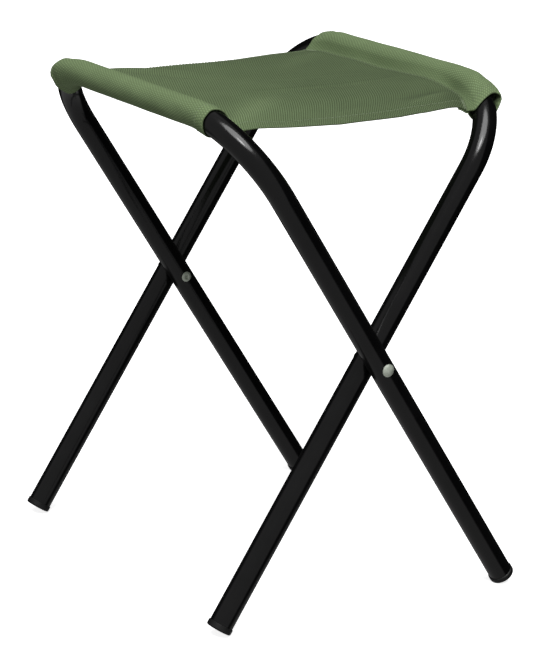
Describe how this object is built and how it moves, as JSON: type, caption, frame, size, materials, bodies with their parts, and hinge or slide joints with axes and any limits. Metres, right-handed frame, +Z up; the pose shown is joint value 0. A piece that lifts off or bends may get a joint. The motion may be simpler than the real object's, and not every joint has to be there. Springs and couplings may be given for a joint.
{
  "type": "folding camp stool",
  "caption": "Folding camp stool: crossed bent-tube frames riveted at mid height, a cloth seat sewn round their top bars, and plastic foot caps.",
  "frame": {"origin": "on the floor, under the middle of the seat and of the four feet", "axes": "+Z up, +X from the left seat bar to the right seat bar, +Y from the front pair of legs to the back pair"},
  "size_m": [0.2784, 0.3416, 0.4069],
  "materials": {
    "black_paint": "gloss",
    "black_plastic": "matte",
    "zinc_steel": "satin",
    "seat_cloth": "matte",
    "seat_thread": "matte"
  },
  "bodies": {
    "left_frame": {"left_frame_bar": "black_paint", "left_frame_front_bend": "black_paint", "left_frame_back_bend": "black_paint", "left_frame_front_leg": "black_paint", "left_frame_back_leg": "black_paint", "left_frame_front_foot_cap": "black_plastic", "left_frame_back_foot_cap": "black_plastic", "front_rivet": "zinc_steel", "back_rivet": "zinc_steel", "front_spacer": "black_plastic", "back_spacer": "black_plastic", "left_sleeve": "seat_cloth", "left_seam_thread": "seat_thread", "seat_panel": "seat_cloth", "front_hem_thread": "seat_thread", "back_hem_thread": "seat_thread"},
    "right_frame": {"right_frame_bar": "black_paint", "right_frame_front_bend": "black_paint", "right_frame_back_bend": "black_paint", "right_frame_front_leg": "black_paint", "right_frame_back_leg": "black_paint", "right_frame_front_foot_cap": "black_plastic", "right_frame_back_foot_cap": "black_plastic", "right_sleeve": "seat_cloth", "right_seam_thread": "seat_thread"}
  },
  "joints": [
    {"name": "fold", "type": "hinge", "parent": "left_frame", "child": "right_frame", "pos_m": [0, 0, 0.20052], "axis": [0, -1, 0], "range_deg": [0, 59], "deforming": ["seat_panel", "front_hem_thread", "back_hem_thread"]}
  ]
}
